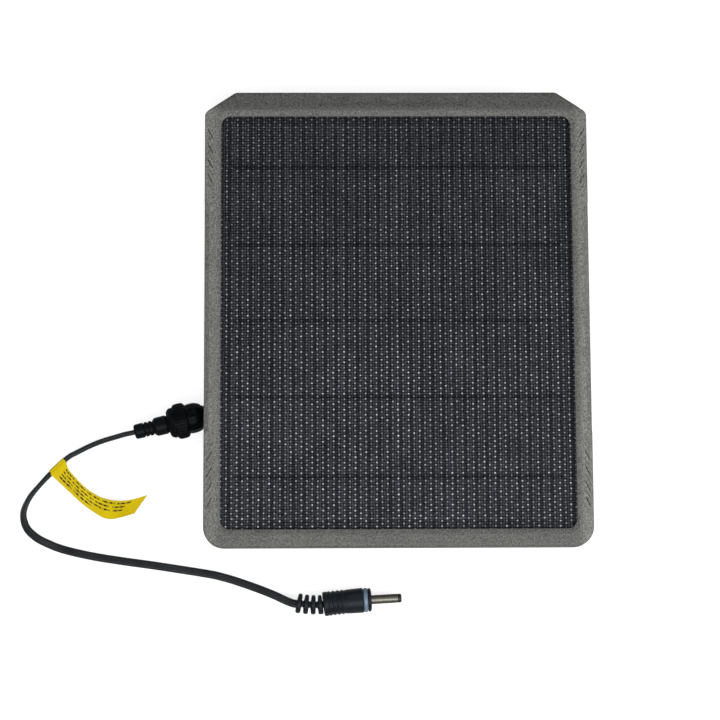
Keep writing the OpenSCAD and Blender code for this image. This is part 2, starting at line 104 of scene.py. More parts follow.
def make_piece(name, verts, faces, body, slot, sharp, extra=None, picks=None, place=None):
    """A closed mesh from points in millimetres, riding on a body, in its slot's material.
    Faces whose entry in picks is 1 get the extra material instead."""
    mesh = bpy.data.meshes.new(name)
    place = place or Matrix.Identity(4)
    mesh.from_pydata([place @ Vector(v) * MM for v in verts], [], faces)
    mesh.validate()
    mesh.materials.append(MATERIALS[slot])
    if extra:
        mesh.materials.append(extra)
        mesh.polygons.foreach_set("material_index", picks)
    mesh.shade_smooth()
    mesh.set_sharp_from_angle(angle=math.radians(sharp))
    piece = bpy.data.objects.new(name, mesh)
    bpy.context.collection.objects.link(piece)
    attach(piece, body)
    return piece


def fillet(points, radius, steps, closed=False):
    """Rounds the corners of a profile of (station, radius) points."""
    pts = [Vector(p) for p in points]
    out = []
    n = len(pts)
    for i, p in enumerate(pts):
        if not closed and i in (0, n - 1):
            out.append(tuple(p))
            continue
        a, b = pts[i - 1] - p, pts[(i + 1) % n] - p
        trim = min(radius, a.length * 0.45, b.length * 0.45)
        if trim < 1e-4:
            out.append(tuple(p))
            continue
        start, end = p + a.normalized() * trim, p + b.normalized() * trim
        for k in range(steps + 1):
            t = k / steps
            q = start * (1 - t) ** 2 + p * 2 * t * (1 - t) + end * t * t
            out.append(tuple(q))
    return out


def lathe(profile, segments, closed=False, shape=None):
    """Turned solid about +X. A closed profile gives a ring, an open one ends on the axis.
    shape(station, radius, angle) may change the radius round the turn."""
    verts, faces, rings = [], [], []
    for s, r in profile:
        if r < 1e-6 and not closed:
            rings.append([len(verts)])
            verts.append((s, 0, 0))
            continue
        ring = []
        for k in range(segments):
            a = math.tau * k / segments
            q = shape(s, r, a) if shape else r
            ring.append(len(verts))
            verts.append((s, q * math.cos(a), q * math.sin(a)))
        rings.append(ring)
    pairs = list(zip(rings, rings[1:]))
    if closed:
        pairs.append((rings[-1], rings[0]))
    for a, b in pairs:
        for k in range(segments):
            j = (k + 1) % segments
            if len(a) == 1:
                faces.append((a[0], b[j], b[k]))
            elif len(b) == 1:
                faces.append((a[k], a[j], b[0]))
            else:
                faces.append((a[k], a[j], b[j], b[k]))
    return verts, faces


def turned_piece(name, body, slot, profile, place, segments, sharp, closed=False, shape=None, bent=None):
    """A lathed piece at its place on a body. bent(point) may move its points."""
    verts, faces = lathe(profile, segments, closed=closed, shape=shape)
    if bent:
        verts = [bent(v) for v in verts]
    return make_piece(name, verts, faces, body, slot, sharp, place=place)


def slab_faces(rows, across):
    """Faces of a closed slab of two (rows + 1) by (across + 1) grids of points, the upper one first."""
    m = across + 1

    def at(layer, i, j):
        return (layer * (rows + 1) + i) * m + j

    faces = []
    for i in range(rows):
        for j in range(across):
            faces.append((at(0, i, j), at(0, i, j + 1), at(0, i + 1, j + 1), at(0, i + 1, j)))
            faces.append((at(1, i, j), at(1, i + 1, j), at(1, i + 1, j + 1), at(1, i, j + 1)))
    for i in range(rows):
        faces.append((at(0, i, 0), at(0, i + 1, 0), at(1, i + 1, 0), at(1, i, 0)))
        faces.append((at(0, i, across), at(1, i, across), at(1, i + 1, across), at(0, i + 1, across)))
    for j in range(across):
        faces.append((at(0, 0, j), at(1, 0, j), at(1, 0, j + 1), at(0, 0, j + 1)))
        faces.append((at(0, rows, j), at(0, rows, j + 1), at(1, rows, j + 1), at(1, rows, j)))
    return faces


def curve_point(points, i, t):
    """Point at share t of the Catmull-Rom span that starts at point i."""
    last = len(points) - 1
    p0, p1, p2, p3 = points[max(i - 1, 0)], points[i], points[i + 1], points[min(i + 2, last)]
    return 0.5 * (2 * p1 + (p2 - p0) * t + (2 * p0 - 5 * p1 + 4 * p2 - p3) * t * t
                  + (3 * p1 - p0 - 3 * p2 + p3) * t ** 3)


def oval(points, across, up, power):
    """Points round a squared-off oval."""
    out = []
    for k in range(points):
        a = math.tau * k / points
        c, s = math.cos(a), math.sin(a)
        out.append((across * math.copysign(abs(c) ** power, c), up * math.copysign(abs(s) ** power, s)))
    return out


def step_up(value, lo, hi):
    """Rises smoothly from 0 to 1 as value goes from lo to hi."""
    t = min(1, max(0, (value - lo) / (hi - lo)))
    return t * t * (3 - 2 * t)


def axes_at(point, direction):
    """Matrix in millimetres whose +X runs along direction from point."""
    x = Vector(direction).normalized()
    z = Vector((0, 0, 1))
    y = z.cross(x).normalized()
    return Matrix.Translation(Vector(point) / MM) @ Matrix((x, y, x.cross(y))).transposed().to_4x4()


def join_parts(parts):
    """Joins (verts, faces) pairs into one."""
    verts, faces = [], []
    for v, f in parts:
        n = len(verts)
        verts += v
        faces += [tuple(i + n for i in face) for face in f]
    return verts, faces


# ---- material helpers ----

class Shader:
    """A node material built step by step round one Principled shader."""

    def __init__(self, name, **sockets):
        self.mat = bpy.data.materials.new(name)
        self.mat.use_nodes = True
        self.tree = self.mat.node_tree
        self.bsdf = self.tree.nodes["Principled BSDF"]
        for key, value in sockets.items():
            self.bsdf.inputs[key.replace("_", " ")].default_value = value
        self.coords = self.node("ShaderNodeTexCoord").outputs["Object"]

    def node(self, kind, **settings):
        n = self.tree.nodes.new(kind)
        for key, value in settings.items():
            setattr(n, key, value)
        return n

    def link(self, a, b):
        self.tree.links.new(a, b)

    def math(self, op, a, b=None, c=None):
        n = self.node("ShaderNodeMath", operation=op)
        for i, v in enumerate((a, b, c)):
            if v is None:
                continue
            if isinstance(v, (int, float)):
                n.inputs[i].default_value = v
            else:
                self.link(v, n.inputs[i])
        return n.outputs[0]

    def noise(self, size_mm, detail=3.0, rough=0.55, stretch=None):
        tex = self.node("ShaderNodeTexNoise")
        tex.inputs["Scale"].default_value = 1 / (size_mm * MM)
        tex.inputs["Detail"].default_value = detail
        tex.inputs["Roughness"].default_value = rough
        source = self.coords
        if stretch:
            mapping = self.node("ShaderNodeMapping")
            mapping.inputs["Scale"].default_value = stretch
            self.link(source, mapping.inputs["Vector"])
            source = mapping.outputs[0]
        self.link(source, tex.inputs["Vector"])
        return tex.outputs["Fac"]

    def spread(self, value, lo, hi, to_lo, to_hi):
        n = self.node("ShaderNodeMapRange")
        self.link(value, n.inputs["Value"])
        for key, v in (("From Min", lo), ("From Max", hi), ("To Min", to_lo), ("To Max", to_hi)):
            n.inputs[key].default_value = v
        return n.outputs[0]

    def blend(self, factor, a, b):
        n = self.node("ShaderNodeMix", data_type="RGBA")
        self.link(factor, n.inputs["Factor"])
        ins = [i for i in n.inputs if i.type == "RGBA"]
        for socket, v in zip(ins, (a, b)):
            if isinstance(v, (tuple, list)):
                socket.default_value = (*v, 1)
            else:
                self.link(v, socket)
        return [o for o in n.outputs if o.type == "RGBA"][0]

    def bump(self, height, strength, distance_mm):
        n = self.node("ShaderNodeBump")
        n.inputs["Strength"].default_value = strength
        n.inputs["Distance"].default_value = distance_mm * MM
        self.link(height, n.inputs["Height"])
        return n.outputs[0]

    def split(self, vector=None):
        n = self.node("ShaderNodeSeparateXYZ")
        self.link(vector or self.coords, n.inputs[0])
        return n.outputs

    def scaled(self, colour, factor):
        n = self.node("ShaderNodeVectorMath", operation="SCALE")
        self.link(colour, n.inputs[0])
        self.link(factor, n.inputs["Scale"])
        return n.outputs[0]

    def use(self, socket, value):
        self.link(value, self.bsdf.inputs[socket])


def grained(name, dark, light, roughness, grain_mm=0.35, grain=0.3, mottle_mm=9, depth_mm=0.03, **sockets):
    """Moulded plastic or rubber: fine grain, slow mottling, roughness that follows the grain."""
    s = Shader(name, **sockets)
    fine = s.noise(grain_mm, 4, 0.6)
    slow = s.noise(mottle_mm, 2)
    mix = s.math("ADD", s.math("MULTIPLY", fine, grain), s.math("MULTIPLY", slow, 1 - grain))
    s.use("Base Color", s.blend(s.spread(mix, 0.3, 0.7, 0, 1), dark, light))
    s.use("Roughness", s.spread(fine, 0.3, 0.7, roughness - 0.07, roughness + 0.07))
    s.use("Normal", s.bump(fine, 0.6, depth_mm))
    return s.mat


def metal(name, colour, roughness, brush=None, **sockets):
    """Metal with fine streaks, stretched by brush, under slow smudges."""
    s = Shader(name, Metallic=1.0, **sockets)
    streak = s.noise(0.25, 3, 0.6, brush)
    smudge = s.noise(2.5, 3)
    s.use("Base Color", s.blend(smudge, [c * 0.82 for c in colour], colour))
    s.use("Roughness", s.spread(streak, 0.3, 0.7, roughness - 0.06, roughness + 0.1))
    s.use("Normal", s.bump(streak, 0.35, 0.01))
    return s.mat


CELL_PITCH = 21.6
CELLS_WIDE = CELL_PITCH * 3     # from the middle to the outer strips' edge
CELLS_HALF = 78.2               # half a strip's length
BUSBARS = (16.4, 47.8)          # from the cells' outer ends
DIMPLE_X, DIMPLE_Y = 2.1, 2.08  # spacing of the film's raised dots
FILM_MIDDLE = (film_lo.y + film_hi.y) / 2


def cell_shade(s, x, y):
    """How pale the film looks over the strips, their gaps and their ribbons, round 1."""
    ax, ay = s.math("ABSOLUTE", x), s.math("ABSOLUTE", y)
    across = s.math("LESS_THAN", ax, CELLS_WIDE)
    inside = s.math("MULTIPLY", s.math("LESS_THAN", ay, CELLS_HALF), across)
    gap = s.spread(s.math("PINGPONG", x, CELL_PITCH / 2), 0.2, 0.7, 1, 0)
    ribbons = s.spread(ay, 0.3, 0.9, 1, 0)
    for edge in BUSBARS:
        near = s.math("ABSOLUTE", s.math("SUBTRACT", ay, CELLS_HALF - edge))
        ribbons = s.math("ADD", ribbons, s.spread(near, 0.5, 1.0, 1, 0))
    ends = s.spread(s.math("ABSOLUTE", s.math("SUBTRACT", ay, CELLS_HALF)), 0.2, 0.6, 1, 0)
    shade = s.math("MULTIPLY_ADD", s.math("MULTIPLY", ribbons, inside), -0.45, 1)
    shade = s.math("MULTIPLY_ADD", s.math("MULTIPLY", gap, inside), 0.25, shade)
    shade = s.math("MULTIPLY_ADD", s.math("MULTIPLY", ends, across), 0.5, shade)
    return s.math("MULTIPLY", shade, s.spread(inside, 0, 1, 0.82, 1))


def film_dots(s, x, y):
    """Painted highlights: glints on the raised dots, in staggered columns that wander a little, and the
    lattice round them.
    """
    u, column = dot_offset(s, s.math("DIVIDE", wander(s, x, 0), DIMPLE_X))
    shift = s.math("MULTIPLY", s.math("FLOORED_MODULO", column, 2), 0.5)
    v, row = dot_offset(s, s.math("SUBTRACT", s.math("DIVIDE", wander(s, y, 1), DIMPLE_Y), shift))
    away = s.math("SQRT", s.math("ADD", s.math("MULTIPLY", u, u), s.math("MULTIPLY", v, v)))
    spot = s.node("ShaderNodeCombineXYZ")
    s.link(column, spot.inputs[0])
    s.link(row, spot.inputs[1])
    random_dot = s.node("ShaderNodeTexWhiteNoise", noise_dimensions="2D")
    s.link(spot.outputs[0], random_dot.inputs["Vector"])
    chance = s.spread(random_dot.outputs["Value"], 0, 1, 0.25, 1.25)
    fainter = s.math("MULTIPLY_ADD", shift, -0.6, 1)
    painted_glint = s.math("MULTIPLY", s.spread(away, 0.03, 0.20, 1, 0), chance)
    painted_glint = s.math("MULTIPLY", painted_glint, fainter)
    # painted light: the glints fainter towards the top edge
    painted_glint = s.math("MULTIPLY", painted_glint, s.spread(y, -15, 70, 1, 0.55))
    return painted_glint, s.math("MULTIPLY", wave(s, u), wave(s, v))


def film_material():
    """Dark cells behind a clear dotted film: strips, gaps and ribbons show faintly."""
    s = Shader("dotted_film", Specular_IOR_Level=0.03)
    place = s.split()
    x = s.math("MULTIPLY", place["X"], 1 / MM)
    y = s.math("SUBTRACT", s.math("MULTIPLY", place["Y"], 1 / MM), FILM_MIDDLE)
    shade = cell_shade(s, x, y)
    painted_glint, lattice = film_dots(s, x, y)
    column_place = s.math("ADD", s.math("DIVIDE", x, DIMPLE_X), 0.5)
    groove = s.math("ABSOLUTE", s.math("SUBTRACT", s.math("FLOORED_MODULO", column_place, 2), 1))
    groove = s.spread(groove, 0.08, 0.26, 1, 0)
    speck = s.noise(0.9, 3, 0.7)
    # painted light and shade of the raised dots: paler on each dot, darker in the lattice between them; the
    # speck adds random tone
    level = s.math("MULTIPLY_ADD", lattice, 0.62, s.spread(speck, 0.36, 0.64, 0, 0.26))
    # painted shade: darker along the groove at every second gap between columns
    level = s.math("MULTIPLY", level, s.spread(groove, 0, 1, 1, 0.45))
    seen = s.blend(level, (0.0002, 0.0003, 0.0008), (0.031, 0.033, 0.0375))
    # painted highlight: each dot's glint blended towards pale grey
    seen = s.blend(painted_glint, seen, (0.205, 0.209, 0.216))
    tone_and_painted_light = s.math("MULTIPLY", shade, s.spread(s.noise(14, 2), 0.3, 0.7, 0.85, 1.15))
    # painted light: the film paler towards the lower edge
    tone_and_painted_light = s.math("MULTIPLY", tone_and_painted_light, s.spread(y, -75, 75, 1.2, 0.98))
    s.use("Base Color", s.scaled(seen, tone_and_painted_light))
    s.use("Roughness", s.spread(s.noise(1.2, 3), 0.3, 0.7, 0.26, 0.42))
    s.use("Normal", s.bump(speck, 0.35, 0.05))
    return s.mat


def wander(s, value, part):
    """Shifts a coordinate by a small part of a dot's spacing, slowly over the sheet."""
    tex = s.node("ShaderNodeTexNoise")
    tex.inputs["Scale"].default_value = 1 / (3.5 * MM)
    tex.inputs["Detail"].default_value = 2
    s.link(s.coords, tex.inputs["Vector"])
    drift = s.split(tex.outputs["Color"])[part]
    return s.math("MULTIPLY_ADD", s.math("SUBTRACT", drift, 0.5), 0.7, value)


def wave(s, offset):
    """Swings between 0 and 1 twice for each dot, highest on the dot."""
    turn = s.math("COSINE", s.math("MULTIPLY", offset, 2 * math.tau))
    return s.math("MULTIPLY_ADD", turn, 0.5, 0.5)


def dot_offset(s, value):
    """Offset of a value from its nearest whole number, and that number."""
    whole = s.math("ROUND", value)
    return s.math("SUBTRACT", value, whole), whole


def tag_material():
    """Yellow label film with slow changes of tone and shallow creases."""
    s = Shader("tag_yellow", Specular_IOR_Level=0.03)
    s.use("Base Color", s.blend(s.noise(6, 2), (0.192, 0.142, 0.0010), (0.262, 0.200, 0.0014)))
    s.use("Roughness", s.spread(s.noise(1, 3), 0.3, 0.7, 0.38, 0.5))
    s.use("Normal", s.bump(s.noise(2.5, 3), 0.4, 0.05))
    return s.mat


def frame_material():
    """Grained plastic, with painted light making the sides paler and painted shade making the top border
    darker.
    """
    s = Shader("frame_plastic", Specular_IOR_Level=0.15)
    fine, slow = s.noise(0.6, 4, 0.6), s.noise(9, 2)
    mix = s.math("ADD", s.math("MULTIPLY", fine, 0.93), s.math("MULTIPLY", slow, 0.07))
    tone = s.blend(s.spread(mix, 0.3, 0.7, 0, 1), (0.0036, 0.0036, 0.0031), (0.076, 0.076, 0.0715))
    place = s.split()
    side, top = film_hi.x * MM, film_hi.y * MM
    # painted light: the sides 1.5 times as pale beyond the film's edge
    sides = s.spread(s.math("ABSOLUTE", place["X"]), side - 0.001, side + 0.002, 1, 1.5)
    # painted shade: the top border 0.70 times as dark
    upper = s.spread(place["Y"], top + 0.001, top + 0.003, 1, 0.70)
    s.use("Base Color", s.scaled(tone, s.math("MULTIPLY", sides, upper)))
    s.use("Roughness", s.spread(fine, 0.3, 0.7, 0.55, 0.69))
    s.use("Normal", s.bump(fine, 0.6, 0.12))
    return s.mat


MATERIALS = {
    "frame_plastic": frame_material(),
    "film": film_material(),
    "tag_film": tag_material(),
    "cover_plastic": grained("cover_plastic", (0.016, 0.016, 0.015), (0.070, 0.070, 0.066), 0.6,
                             grain_mm=0.8, grain=0.85, depth_mm=0.1, Specular_IOR_Level=0.2),
    "coupling_plastic": grained("coupling_plastic", (0.0004, 0.0005, 0.0007), (0.0012, 0.0014, 0.0018),
                                0.38, grain_mm=0.4, depth_mm=0.02, Specular_IOR_Level=0.02),
    "coupling_rubber": grained("coupling_rubber", (0.0006, 0.0008, 0.0011), (0.0018, 0.0021, 0.0027),
                               0.42, grain_mm=0.5, depth_mm=0.03, Specular_IOR_Level=0.03),
    "lead_jacket": grained("lead_jacket", (0.0026, 0.0031, 0.0038), (0.0068, 0.0078, 0.0092), 0.43,
                           grain_mm=0.6, depth_mm=0.02, Specular_IOR_Level=0.08),
    "plug_moulding": grained("plug_moulding", (0.0019, 0.0027, 0.0040), (0.0045, 0.0059, 0.0078), 0.44,
                             grain_mm=0.45, depth_mm=0.02, Specular_IOR_Level=0.06),
    "plug_seal": grained("plug_seal", (0.032, 0.050, 0.072), (0.050, 0.073, 0.100), 0.45,
                         grain_mm=0.5, depth_mm=0.02, Specular_IOR_Level=0.3),
    "component_black": grained("component_black", (0.003, 0.003, 0.003), (0.008, 0.008, 0.008), 0.5,
                               grain_mm=0.25, Specular_IOR_Level=0.15),
    "seal": grained("seal", (0.010, 0.010, 0.010), (0.025, 0.025, 0.025), 0.7),
    "gland_rubber": grained("gland_rubber", (0.008, 0.008, 0.008), (0.02, 0.02, 0.02), 0.65),
    "board": grained("board", (0.010, 0.060, 0.022), (0.020, 0.095, 0.035), 0.4, mottle_mm=4),
    "cell": grained("cell", (0.006, 0.007, 0.016), (0.014, 0.016, 0.034), 0.25, grain_mm=0.8),
    "encapsulant": grained("encapsulant", (0.55, 0.57, 0.60), (0.66, 0.68, 0.70), 0.3),
    "ferrite": grained("ferrite", (0.05, 0.05, 0.05), (0.10, 0.10, 0.10), 0.6),
    "red_insulation": grained("red_insulation", (0.35, 0.015, 0.01), (0.5, 0.03, 0.02), 0.4),
    "tinned_copper": metal("tinned_copper", (0.72, 0.72, 0.70), 0.35, (1, 8, 1)),
    "steel": metal("steel", (0.52, 0.52, 0.52), 0.32),
    "brass": metal("brass", (0.62, 0.43, 0.17), 0.28, (1, 1, 10)),
    "gold_plate": metal("gold_plate", (0.78, 0.57, 0.22), 0.22),
    "nickel": metal("nickel", (0.085, 0.082, 0.072), 0.42, (1, 6, 6), Specular_Tint=(0.25, 0.24, 0.22, 1)),
    "capacitor_can": metal("capacitor_can", (0.62, 0.62, 0.63), 0.35, (1, 1, 12)),
}
TAG_PRINT = grained("tag_print", (0.006, 0.005, 0.003), (0.016, 0.013, 0.006), 0.55,
                    Specular_IOR_Level=0.03)


def dress_cad_nodes():
    """Gives each CAD node the material of its record slot."""
    slots = {s["node"]: s["material_slot"] for s in record["subparts"]}
    for name, node in frame["nodes"].items():
        node.data.materials.clear()
        node.data.materials.append(MATERIALS[slots[name]])


# ---- lead ----

def smooth_route(route, step):
    """Points every step millimetres along a Catmull-Rom curve through the route."""
    pts = [Vector(p[:3]) / MM for p in route]
    rolls = [p[3] for p in route]
    dense = []
    for i in range(len(pts) - 1):
        n = max(2, round((pts[i + 1] - pts[i]).length / step))
        for k in range(n):
            t = k / n
            roll = rolls[i] + (rolls[i + 1] - rolls[i]) * (3 * t * t - 2 * t ** 3)
            dense.append((curve_point(pts, i, t), roll))
    dense.append((pts[-1], rolls[-1]))
    return dense


def lead_outline():
    """Cross-section of the two-core lead: a flat oval with a shallow groove on each face."""
    flat = oval(28, LEAD_W / 2, LEAD_T / 2, 0.72)
    return [(x, y * (1 - 0.13 * math.exp(-((x / 0.42) ** 2)))) for x, y in flat]


def sweep_lead(name, route, body):
    """A length of lead along a route: the piece, its path in metres and its length in millimetres."""
    dense = smooth_route(route, 0.8)
    outline = lead_outline()
    verts, faces = [], []
    n = len(outline)
    for i, (p, roll) in enumerate(dense):
        run = (dense[min(i + 1, len(dense) - 1)][0] - dense[max(i - 1, 0)][0]).normalized()
        flat = Vector((0, 0, 1)).cross(run).normalized()
        up = run.cross(flat)
        a = math.radians(roll)
        u = flat * math.cos(a) + up * math.sin(a)
        v = up * math.cos(a) - flat * math.sin(a)
        verts += [tuple(p + u * q[0] + v * q[1]) for q in outline]
    for i in range(len(dense) - 1):
        for k in range(n):
            j = (k + 1) % n
            faces.append((i * n + k, i * n + j, (i + 1) * n + j, (i + 1) * n + k))
    faces.append(tuple(reversed(range(n))))
    faces.append(tuple((len(dense) - 1) * n + k for k in range(n)))
    piece = make_piece(name, verts, faces, body, "lead_jacket", 60)
    length = sum((b[0] - a[0]).length for a, b in zip(dense, dense[1:]))
    return piece, [tuple(p * MM) for p, _ in dense], length


def add_lead():
    """The free lead, and the short pigtail under the panel."""
    lead, path, length = sweep_lead("lead_jacket", LEAD_ROUTE, "lead")
    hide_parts("lead_cable")
    pigtail, _, _ = sweep_lead("pigtail_jacket", PIGTAIL_ROUTE, "panel")
    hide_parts("pigtail_cable")
    return lead, path, length


# ---- panel frame ----

BORDER_ROUND = 1.2               # rounding of the outer edge
WINDOW_W, WINDOW_H, WINDOW_R = 139.0, 164.6, 4.0
CORNER_CUT = (12.2, 7.9)         # the upper corners, cut off across and down
CORNER_R = 8.0                   # the lower corners
LIP = 1.5                        # thickness of the border over the film
WALL = 2.2
BEVEL, BEVEL_DROP = 2.2, 0.7     # width and depth of the slope into the window
STEP_W, STEP_HALF = 1.75, 44.5   # long chamfer on each side
HATCH_IN = (0.55, 3.65)          # hatched bands, measured in from the side
HATCH_UP, HATCH_DOWN = (51.0, 76.0), (-78.3, -49.0)
HATCH_SLOPE = 1.85               # millimetres along for each one across
HATCH_PITCH, HATCH_FINE = 3.05, 0.15
HATCH_ACROSS = 10                # faces across a band
HATCH_DEEP, POCKET = 1.2, 0.8    # a band's slab, and the room let into the border for it
# the recess in the top border: half its width at the top and foot, how far down it goes, its depth
RECESS_TOP, RECESS_FOOT, RECESS_DOWN, RECESS_SINK = 30.0, 27.8, 5.2, 0.32
TOP_LEAN, SIDE_LEAN = 0.15, 0.26
SIDE_N, TOP_N, BOTTOM_N, TURN_N = 340, 260, 100, 20     # points along each stretch of the outline


def straight(a, b, n):
    """Points from a towards b, without b."""
    return [Vector(a).lerp(Vector(b), k / n) for k in range(n)]


def bend(c, r, a, b, n):
    """Points round an arc about c from angle a towards b, without its end."""
    angles = [math.radians(a + (b - a) * k / n) for k in range(n)]
    return [Vector((c[0] + r * math.cos(t), c[1] + r * math.sin(t))) for t in angles]


def corner(a, tip, b, n):
    """A smooth corner from a to b that turns towards tip, without b."""
    return [a * (1 - t) ** 2 + tip * 2 * t * (1 - t) + b * t * t for t in [k / n for k in range(n)]]


def outer_loop(d):
    """The frame's outline drawn in by d, always with the same number of points."""
    x, y, r = HALF_W - d, HALF_H - d, CORNER_R - d
    cx, cy = CORNER_CUT[0] - d * 0.45, CORNER_CUT[1] - d * 0.45
    right_top, cut_low, cut_high = Vector((x, y - cy - 1.6)), Vector((x - 0.5, y - cy)), Vector((x - cx, y))
    past_low, near_top = cut_low.lerp(cut_high, 0.14), cut_low.lerp(cut_high, 0.95)
    past_top = cut_high - Vector((0.8, 0))
    loop = bend((x - r, -y + r), r, 270, 360, TURN_N)
    loop += straight((x, -y + r), right_top, SIDE_N)
    loop += corner(right_top, Vector((x, y - cy)), past_low, 6)
    loop += straight(past_low, near_top, TURN_N - 10)
    loop += corner(near_top, cut_high, past_top, 4)
    loop += straight(past_top, (0, y), TOP_N // 2)
    bottom = straight((0, -y), (x - r, -y), BOTTOM_N // 2)[1:]
    half = [Vector((0, -y))] + bottom + loop
    left = [Vector((-p.x, p.y)) for p in reversed(loop[1:])]
    left_bottom = [Vector((-p.x, p.y)) for p in reversed(bottom + [loop[0]])]
    return half + [Vector((0, y))] + left + left_bottom


def window_loop(grow):
    """The window's outline, matched point for point with the outer loop."""
    x, y, r = WINDOW_W / 2 + grow, WINDOW_H / 2 + grow, WINDOW_R + grow
    turn = bend((x - r, -y + r), r, 270, 360, TURN_N)
    up = bend((x - r, y - r), r, 0, 90, TURN_N)
    half = [Vector((0, -y))] + straight((0, -y), (x - r, -y), BOTTOM_N // 2)[1:]
    half += turn + straight((x, -y + r), (x, y - r), SIDE_N) + up
    half += straight((x - r, y), (0, y), TOP_N // 2)
    mirrored = [Vector((-p.x, p.y)) for p in reversed(half[1:])]
    loop = half + [Vector((0, y))] + mirrored
    return [Vector((p.x, p.y + FILM_MIDDLE)) for p in loop]


def drop_at(x, y):
    """How far the frame's face lies below its highest plane at a point."""
    drop = 0.0
    # the top border and the sides lean outwards
    back = y - (FILM_MIDDLE + WINDOW_H / 2 + BEVEL)
    if back > 0:
        drop += TOP_LEAN * back
    outward = abs(x) - (WINDOW_W / 2 + BEVEL)
    if outward > 0:
        drop += SIDE_LEAN * outward
    # the shallow recess in the top border
    down = HALF_H - y
    side_line = RECESS_TOP - (RECESS_TOP - RECESS_FOOT) * down / RECESS_DOWN
    inside = step_up(side_line - abs(x), -0.15, 0.25) * step_up(RECESS_DOWN - down, -0.1, 0.35)
    drop += RECESS_SINK * inside
    # the long chamfer on each side
    inward = HALF_W - abs(x)
    if abs(y) < STEP_HALF + 1.8 and inward < STEP_W:
        ends = step_up(STEP_HALF + 1.2 * (STEP_W - inward) / STEP_W - abs(y), -0.3, 0.3)
        drop += ends * (0.35 + 0.55 * (STEP_W - inward))
    return drop


def frame_loops():
    """Rings of (x, y, z) from the wall's foot over the face, down the window and back."""
    rings = []
    wall = outer_loop(0)
    rings.append([(p.x, p.y, SKIRT) for p in outer_loop(0.5)])
    rings.append([(p.x, p.y, SKIRT + 0.4) for p in outer_loop(0.15)])
    rings.append([(p.x, p.y, SKIRT + 1.2) for p in wall])
    rings.append([(p.x, p.y, TOP - BORDER_ROUND - 1.6 - drop_at(p.x, p.y)) for p in wall])
    for k in range(7):
        a = math.radians(90 * k / 6)
        d = BORDER_ROUND * (1 - math.cos(a))
        sink = BORDER_ROUND * (1 - math.sin(a))
        rings.append([(p.x, p.y, TOP - sink - drop_at(p.x, p.y) * (0.7 + 0.3 * k / 6))
                      for p in outer_loop(d)])
    edge, inner = outer_loop(BORDER_ROUND), window_loop(BEVEL)
    for t in (0.08, 0.16, 0.24, 0.34, 0.44, 0.54, 0.64, 0.74, 0.84, 0.92, 1.0):
        ring = []
        for a, b in zip(edge, inner):
            p = a.lerp(b, t)
            ring.append((p.x, p.y, TOP - drop_at(p.x, p.y) - pocket(p.x, p.y)))
        rings.append(ring)
    for k in range(1, 7):
        t = k / 6
        grow = BEVEL * (1 - t)
        rings.append([(p.x, p.y, TOP - BEVEL_DROP * t ** 1.3) for p in window_loop(grow)])
    rings.append([(p.x, p.y, TOP - BEVEL_DROP - 0.15) for p in window_loop(-0.05)])
    rings.append([(p.x, p.y, TOP - LIP) for p in window_loop(0)])
    inner_wall = outer_loop(WALL)
    rings.append([(p.x, p.y, TOP - LIP) for p in inner_wall])
    rings.append([(p.x, p.y, SKIRT) for p in inner_wall])
    return rings


def hatch_height(turns, inward):
    """Height of a hatched band's face: a groove and a ridge in each turn, every second one fainter."""
    phase = turns % 1
    strong = 1.0 if int(turns) % 2 else 0.4
    groove = math.exp(-(((phase - 0.5) / 0.085) ** 2)) * strong
    ridge = math.exp(-(((phase - 0.74) / 0.13) ** 2)) * strong
    return 0.03 + step_up(inward, 0.25, 0.55) * (0.14 * ridge - 0.65 * groove)


def pocket(x, y):
    """Depth let into the border for the hatched slabs, which fill it again."""
    u = HALF_W - abs(x)
    a0, a1 = HATCH_IN
    if not a0 + 0.3 < u < a1 - 0.3:
        return 0.0
    for (y0, y1), slope in ((HATCH_UP, -HATCH_SLOPE), (HATCH_DOWN, HATCH_SLOPE)):
        station = y - slope * (u - (a0 + a1) / 2)
        if y0 + 0.8 < station < y1 - 0.8:
            return POCKET
    return 0.0


def hatch_patch(side, band, slope):
    """A band of slanting grooves let into the border: a closed slab with a ridged face."""
    y0, y1 = band
    a0, a1 = HATCH_IN
    rows = int((y1 - y0) / HATCH_FINE)
    verts = []
    for layer in range(2):
        for i in range(rows + 1):
            for j in range(HATCH_ACROSS + 1):
                u = a0 + (a1 - a0) * j / HATCH_ACROSS
                y = y0 + (y1 - y0) * i / rows + slope * (u - (a0 + a1) / 2)
                face = TOP - drop_at(HALF_W - u, y)
                z = face - HATCH_DEEP
                if layer == 0:
                    z = face + hatch_height(i * HATCH_FINE / HATCH_PITCH, min(u - a0, a1 - u))
                verts.append((side * (HALF_W - u), y, z))
    faces = slab_faces(rows, HATCH_ACROSS)
    if side > 0:
        faces = [tuple(reversed(f)) for f in faces]
    return verts, faces


def add_front_frame():
    """The border's shell, with the four hatched bands set into it."""
    rings = frame_loops()
    n = len(rings[0])
    verts = [p for ring in rings for p in ring]
    faces = []
    for r in range(len(rings)):
        a, b = r * n, ((r + 1) % len(rings)) * n
        for k in range(n):
            j = (k + 1) % n
            faces.append((a + k, a + j, b + j, b + k))
    parts = [(verts, faces)]
    for side in (-1, 1):
        parts.append(hatch_patch(side, HATCH_UP, -HATCH_SLOPE))
        parts.append(hatch_patch(side, HATCH_DOWN, HATCH_SLOPE))
    verts, faces = join_parts(parts)
    piece = make_piece("front_frame_shell", verts, faces, "panel", "frame_plastic", 32)
    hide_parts("front_frame")


# ---- dotted film ----

DIMPLE_H = 0.20
FILM_SAMPLES = 4                # points for each dot's spacing


def film_height(x, y, gain):
    """Height over the film's flat: a rounded dot, and a groove between every second column."""
    fold = math.cos(math.pi * x / DIMPLE_X) * math.cos(math.tau * y / DIMPLE_Y)
    dot = max(0.0, fold) ** 1.3
    groove = math.exp(-((((x / DIMPLE_X + 0.5) % 2 - 1) / 0.18) ** 2))
    return DIMPLE_H * dot * gain - 0.05 * groove


